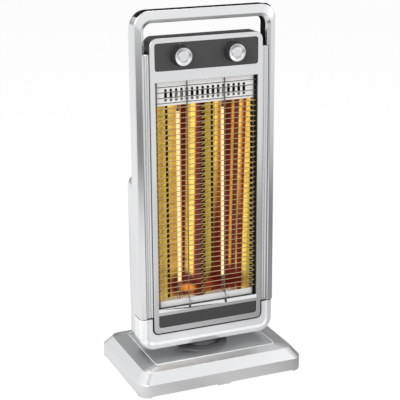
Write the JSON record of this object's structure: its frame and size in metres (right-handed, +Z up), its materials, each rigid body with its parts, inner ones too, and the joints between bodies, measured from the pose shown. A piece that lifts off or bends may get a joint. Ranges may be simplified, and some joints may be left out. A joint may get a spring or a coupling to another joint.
{
  "type": "carbon heater",
  "caption": "Upright electric heater with glowing carbon tubes behind a bent-wire guard, rotary controls and a carrying handle, on a rectangular base that it swivels on.",
  "frame": {"origin": "centre of the base's footprint at floor level, on the swivel axis", "axes": "+Z up along the swivel axis, -Y out of the heater's front, +X to the right as seen from the front"},
  "size_m": [0.334, 0.235, 0.7],
  "materials": {
    "silver": "satin metallic silver",
    "pale_silver": "glossy metallic silver, almost white",
    "dark_plastic": "satin dark grey",
    "black_plastic": "matt black",
    "neck_grey": "matt grey",
    "knob_silver": "satin metallic silver with a bright rim",
    "bright_wire": "bright nickel plating",
    "bright_sheet": "polished sheet",
    "reflector_sheet": "mirror-bright folded sheet, lit gold by the heat",
    "plated_steel": "zinc plated",
    "quartz": "clear quartz",
    "glowing_carbon": "woven carbon strip, glowing yellow-white",
    "ceramic_white": "unglazed white ceramic",
    "rubber": "matt",
    "slide_plastic": "natural white, smooth",
    "gear_plastic": "natural off-white",
    "switch_plastic": "cream",
    "motor_case": "satin grey",
    "red_plastic": "matt red"
  },
  "bodies": {
    "base": {"base_cover": "silver", "base_plate": "plated_steel", "rubber_feet": "rubber", "base_screws": "plated_steel", "thrust_ring": "slide_plastic", "cord_gland": "black_plastic", "swivel_motor": "motor_case", "tip_switch_case": "black_plastic", "tip_spring": "plated_steel"},
    "heater_body": {"swivel_neck": "neck_grey", "sector_gear": "gear_plastic", "pivot_clip": "plated_steel", "bottom_cup": "pale_silver", "foot_seal": "rubber", "handle_frame": "silver", "handle_grip": "black_plastic", "leg_backs": "black_plastic", "side_trim_left": "silver", "side_trim_right": "silver", "front_bezel": "silver", "top_cover": "dark_plastic", "lower_back": "silver", "upper_back": "dark_plastic", "back_screws": "plated_steel", "control_panel": "dark_plastic", "lower_strip": "dark_plastic", "window_liner": "black_plastic", "knob_rings": "black_plastic", "guard_wires": "bright_wire", "guard_uprights": "bright_wire", "reflector": "reflector_sheet", "slotted_plate": "bright_sheet", "floor_plate": "bright_sheet", "tube_left": "quartz", "tube_right": "quartz", "carbon_strip_left": "glowing_carbon", "carbon_strip_right": "glowing_carbon", "tube_caps": "ceramic_white", "tube_clips": "plated_steel", "chassis": "plated_steel", "thermal_cutout": "black_plastic", "terminal_block": "ceramic_white", "selector_switch": "switch_plastic", "swing_switch": "switch_plastic"},
    "pinion": {"motor_pinion": "gear_plastic"},
    "tip_plunger": {"tip_plunger": "red_plastic"},
    "selector": {"selector_knob": "knob_silver", "selector_cap": "knob_silver", "selector_shaft": "plated_steel"},
    "swing_control": {"swing_knob": "knob_silver", "swing_cap": "knob_silver", "swing_shaft": "plated_steel"}
  },
  "joints": [
    {"name": "body_swivel", "type": "hinge", "parent": "base", "child": "heater_body", "pos_m": [0, 0, 0.05], "axis": [0, 0, 1], "range_deg": [-35, 35]},
    {"name": "pinion_turn", "type": "hinge", "parent": "base", "child": "pinion", "pos_m": [0, 0.057, 0.03], "axis": [0, 0, 1], "range_deg": [-135, 135]},
    {"name": "tip_slide", "type": "slide", "parent": "base", "child": "tip_plunger", "axis": [0, 0, -1], "range_m": [0, 0.006], "stiffness_N_per_m": 80, "springref_m": 0.012, "deforming": ["tip_spring"]},
    {"name": "selector_turn", "type": "hinge", "parent": "heater_body", "child": "selector", "pos_m": [-0.052, -0.05, 0.618], "axis": [0, 1, 0], "range_deg": [0, 90]},
    {"name": "swing_turn", "type": "hinge", "parent": "heater_body", "child": "swing_control", "pos_m": [0.052, -0.05, 0.618], "axis": [0, 1, 0], "range_deg": [0, 45]}
  ],
  "couplings": [
    {"joint": "pinion_turn", "follows": "body_swivel", "ratio": -3.75}
  ]
}
